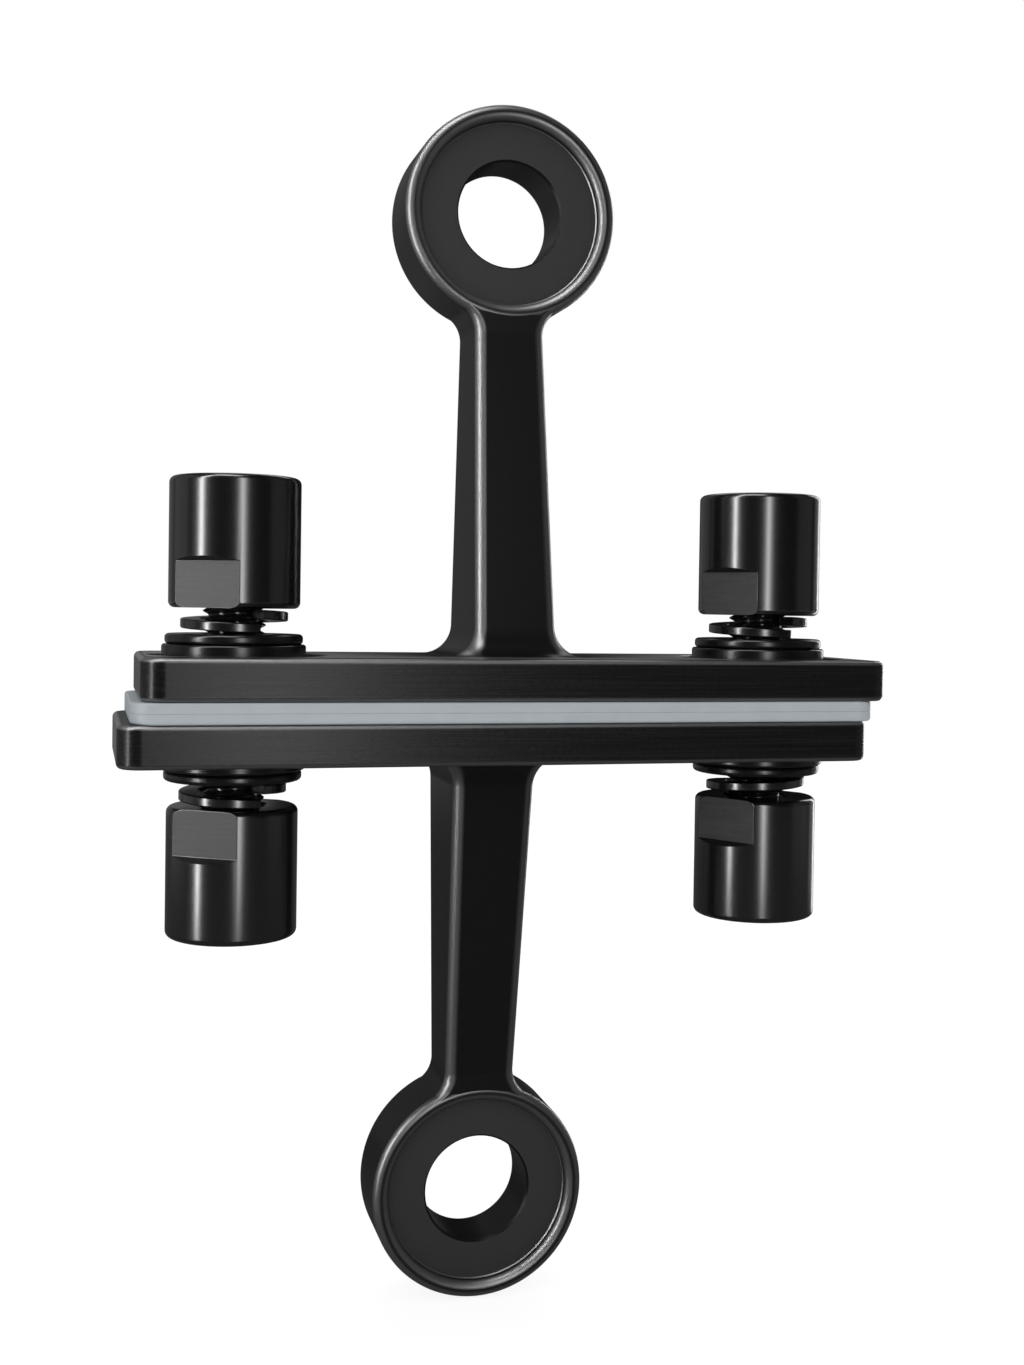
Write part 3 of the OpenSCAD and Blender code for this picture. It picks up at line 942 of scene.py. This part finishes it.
def grow(name, tree, values):
    """A plain mesh piece made by a geometry node tree with the given inputs."""
    piece = add_object(name, bpy.data.meshes.new(name))
    modifier = piece.modifiers.new("grow", "NODES")
    modifier.node_group = tree
    sockets = {
        item.name: item.identifier for item in tree.interface.items_tree
        if item.item_type == "SOCKET" and item.in_out == "INPUT"
    }
    for label, value in values.items():
        modifier[sockets[label]] = value
    bake(piece)
    bm = bmesh.new()
    bm.from_mesh(piece.data)
    close_up(bm, piece.data)
    return piece


class SPIDER_OT_studs(bpy.types.Operator):
    """Grow the two threaded studs"""

    bl_idname = "spider.studs"
    bl_label = "Studs"

    def execute(self, context):
        settings = context.scene.spider_hardware
        tree = thread_tree()
        steel = shared_finish("oiled thread")
        for side, _ in SIDES:
            node = f"{side}_stud"
            _, _, middle, size = measure(node)
            piece = grow(f"{node}_thread", tree, {
                "Radius": size.x / 2, "Length": size.z, "Pitch": settings.thread_pitch,
                "Depth": settings.thread_depth, "Chamfer": settings.stud_chamfer,
                "Material": steel,
            })
            move(piece, *middle)
            smooth(piece, 50)
            settle(piece, node, "fitting")
        return {"FINISHED"}


class SPIDER_OT_springs(bpy.types.Operator):
    """Grow the split spring washers"""

    bl_idname = "spider.springs"
    bl_label = "Spring washers"

    def execute(self, context):
        settings = context.scene.spider_hardware
        tree = spring_tree()
        gloss = shared_finish("gloss black")
        turns = {"upper_left": -64, "upper_right": -70, "lower_left": 64, "lower_right": -38}
        hands = {"lower_right": -1.0}
        for corner, up, _ in CORNERS:
            node = f"{corner}_spring_washer"
            low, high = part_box(node)
            stud = measure(f"{corner}_flat_washer")[2]
            height = high.z - low.z
            piece = grow(f"{node}_coil", tree, {
                "Inner Radius": settings.spring_inner, "Outer Radius": settings.spring_outer,
                "Bar Thickness": settings.spring_wire, "Rise": height - settings.spring_wire,
                "Split": settings.spring_split, "Hand": hands.get(corner, 1.0),
                "Material": gloss,
            })
            seat = low.z if up > 0 else high.z
            stand_up(piece, (stud.x, stud.y, seat), up, math.radians(turns[corner]))
            smooth(piece, 32)
            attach(piece, "fitting")
            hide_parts(node)
            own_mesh(piece)
        return {"FINISHED"}


# ---- stage ----


def around(turn, distance, height):
    """A point round the object: turn in degrees from the front towards the left, and height."""
    turn = math.radians(turn)
    return Vector((-distance * math.sin(turn), -distance * math.cos(turn), height))


def panel_lamp(name, place, aim_height, size, glow, glint=True):
    """A rectangular lamp that shows in reflections alone, or gives soft light alone."""
    data = bpy.data.lights.new(name, "AREA")
    data.shape = "RECTANGLE"
    data.size, data.size_y = size
    data.energy = glow * LAMP_WATTS * size[0] * size[1]
    lamp = bpy.data.objects.new(name, data)
    bpy.context.scene.collection.objects.link(lamp)
    look = (Vector((0, 0, aim_height)) - place).to_track_quat("-Z", "Y")
    lamp.matrix_world = Matrix.Translation(place) @ look.to_matrix().to_4x4()
    lamp.visible_camera = False
    lamp.visible_glossy = glint
    lamp.visible_diffuse = not glint


def seen_directly(tree):
    """1 where a ray from the camera, a reflection or a view through glass arrives, else 0."""
    path = node_link(tree, "ShaderNodeLightPath").outputs
    seen = math_node(tree, "MAXIMUM", path["Is Camera Ray"], path["Is Glossy Ray"])
    return math_node(tree, "MAXIMUM", seen, path["Is Transmission Ray"])


class SPIDER_OT_stage(bpy.types.Operator):
    """Set the camera, the floor, the soft lamps and the dark flags beside the object"""

    bl_idname = "spider.stage"
    bl_label = "Stage"

    def execute(self, context):
        scene = context.scene
        settings = scene.spider_stage
        self.camera(scene, settings)
        self.world(scene, settings)
        self.floor()
        self.flags()
        self.lamps(settings)
        scene.view_settings.view_transform = "Standard"
        return {"FINISHED"}

    def camera(self, scene, settings):
        """Sets the camera by its place, its two angles and its roll."""
        data = bpy.data.cameras.new("camera")
        data.sensor_fit = "AUTO"
        data.sensor_width = 36.0
        data.lens = settings.lens
        data.shift_y = settings.camera_rise
        data.clip_start = 0.01
        camera = bpy.data.objects.new("camera", data)
        scene.collection.objects.link(camera)
        turn, tilt, roll = settings.side_turn, settings.down_tilt, settings.roll
        level = math.cos(tilt)
        ahead = Vector((math.sin(turn) * level, math.cos(turn) * level, -math.sin(tilt)))
        right = Vector((math.cos(turn), -math.sin(turn), 0))
        up = right.cross(ahead)
        rolled_right = math.cos(roll) * right + math.sin(roll) * up
        rolled_up = -math.sin(roll) * right + math.cos(roll) * up
        axes = Matrix((rolled_right, rolled_up, -ahead)).transposed().to_4x4()
        camera.matrix_world = Matrix.Translation(settings.camera_place) @ axes
        scene.camera = camera

    def world(self, scene, settings):
        """White surroundings that light the object less than they show."""
        world = bpy.data.worlds.new("white room")
        world.use_nodes = True
        tree = world.node_tree
        background = tree.nodes["Background"]
        background.inputs["Color"].default_value = WHITE
        strength = blend(tree, seen_directly(tree), settings.world_strength, 1.0)
        tree.links.new(strength.outputs[0], background.inputs["Strength"])
        scene.world = world

    def floor(self):
        """A white floor that still takes the object's shadow."""
        gap, half_size, glow, share_of_glow = 0.0005, 6.0, 1.06, 0.85
        bm = bmesh.new()
        bmesh.ops.create_grid(bm, x_segments=1, y_segments=1, size=half_size)
        floor = new_piece("floor", bm)
        floor.location.z = CAD_BOX[0][2] - gap
        material, tree, shader = new_material("white floor")
        set_inputs(shader, {
            "Base Color": (0.9, 0.9, 0.9, 1.0), "Roughness": 0.8, "Specular IOR Level": 0.1,
        })
        white = node_link(tree, "ShaderNodeEmission", {"Color": WHITE, "Strength": glow})
        weight = math_node(tree, "MULTIPLY", seen_directly(tree), share_of_glow)
        mixed = node_link(tree, "ShaderNodeMixShader", {0: weight, 1: shader, 2: white})
        tree.links.new(mixed.outputs[0], tree.nodes["Material Output"].inputs["Surface"])
        paint(floor, material)

    def flags(self):
        """Black cloth round the set that only reflections see, so that black gloss stays black."""
        radius, top, low = 1.9, 1.6, CAD_BOX[0][2]
        tent = lathe("black_flags", rod_profile(radius, low, top), 48)
        for polygon in tent.data.polygons:
            polygon.flip()
        cloths = []
        for name, glow in (("black cloth", 0.0), ("dim floor", 0.08)):
            cloth, _, shader = new_material(name)
            set_inputs(shader, {
                "Base Color": BLACK, "Roughness": 1.0, "Specular IOR Level": 0.0,
                "Emission Color": WHITE, "Emission Strength": glow,
            })
            cloths.append(cloth)
        paint(tent, *cloths)
        for polygon in tent.data.polygons:
            polygon.material_index = int(polygon.center.z < low + MM)
        for ray in ("camera", "diffuse", "transmission", "volume_scatter", "shadow"):
            setattr(tent, f"visible_{ray}", False)

    def lamps(self, settings):
        """Strips and panels for the reflections, and two soft lamps for the light."""
        power, low, tall = settings.lamp_power, CAD_BOX[0][2], 0.42
        middle, high = low + tall / 2, low + tall
        glints = (
            ("left strip", around(68, 0.45, high), high, (0.03, 2 * tall), 16.5),
            ("left strip skirt", around(68, 0.46, high), high, (0.08, 2 * tall), 2.6),
            ("front strip", around(0, 0.45, middle), middle, (0.04, tall), 6.0),
            ("front strip skirt", around(0, 0.46, middle), middle, (0.12, tall), 1.6),
            ("right panel", around(-74, 0.6, high), high, (0.4, 2 * tall), 0.1),
            ("left panel", around(112, 0.6, high), high, (0.4, 2 * tall), 0.22),
            ("back right strip", around(-108, 0.5, middle), middle, (0.08, tall), 0.25),
            ("back left panel", around(160, 0.8, high), high, (0.7, 2 * tall), 0.15),
            ("back strip", around(235, 0.45, middle), middle, (0.05, tall), 4.0),
            ("top panel", around(40, 0.3, 0.8), 0.0, (0.5, 0.3), 5.0),
            ("high back panel", around(200, 0.8, 0.9), 0.0, (0.9, 0.4), 1.6),
        )
        for name, place, aim_height, size, glow in glints:
            panel_lamp(name, place, aim_height, size, glow * power)
        for name, turn, glow in (("soft front", 35, 1.0), ("soft back", 200, 1.2)):
            panel_lamp(name, around(turn, 1.1, 0.8), 0.0, (1.2, 1.2), glow * power, glint=False)


# ---- panel and registration ----


class SPIDER_PT_panel(bpy.types.Panel):
    """Lists the fitting's pieces and settings in the sidebar"""

    bl_idname = "SPIDER_PT_panel"
    bl_label = "Glass Spider Fitting"
    bl_space_type = "VIEW_3D"
    bl_region_type = "UI"
    bl_category = "Spider Fitting"

    def draw(self, context):
        """One button for each operator, then the settings in boxes."""
        for operator in PIECES + (SPIDER_OT_stage,):
            self.layout.operator(operator.bl_idname)
        for group, kind in GROUPS.items():
            box = self.layout.box()
            for name in kind.__annotations__:
                box.prop(getattr(context.scene, group), name)


PIECES = (
    SPIDER_OT_castings,
    SPIDER_OT_gaskets,
    SPIDER_OT_studs,
    SPIDER_OT_washers,
    SPIDER_OT_springs,
    SPIDER_OT_cap_nuts,
)
GROUPS = {
    "spider_casting": SPIDER_PG_casting,
    "spider_hardware": SPIDER_PG_hardware,
    "spider_stage": SPIDER_PG_stage,
}
CLASSES = tuple(GROUPS.values()) + PIECES + (SPIDER_OT_stage, SPIDER_PT_panel)


def register():
    """Registers the settings, the operators and the panel."""
    for entry in CLASSES:
        bpy.utils.register_class(entry)
    for name, group in GROUPS.items():
        setattr(bpy.types.Scene, name, bpy.props.PointerProperty(type=group))


def unregister():
    """Takes the panel, the operators and the settings out again."""
    for name in GROUPS:
        delattr(bpy.types.Scene, name)
    for entry in reversed(CLASSES):
        bpy.utils.unregister_class(entry)


def main():
    """Builds every piece and the stage."""
    register()
    bpy.ops.spider.castings()
    bpy.ops.spider.gaskets()
    bpy.ops.spider.studs()
    bpy.ops.spider.washers()
    bpy.ops.spider.springs()
    bpy.ops.spider.cap_nuts()
    bpy.ops.spider.stage()


if __name__ == "__main__":
    main()
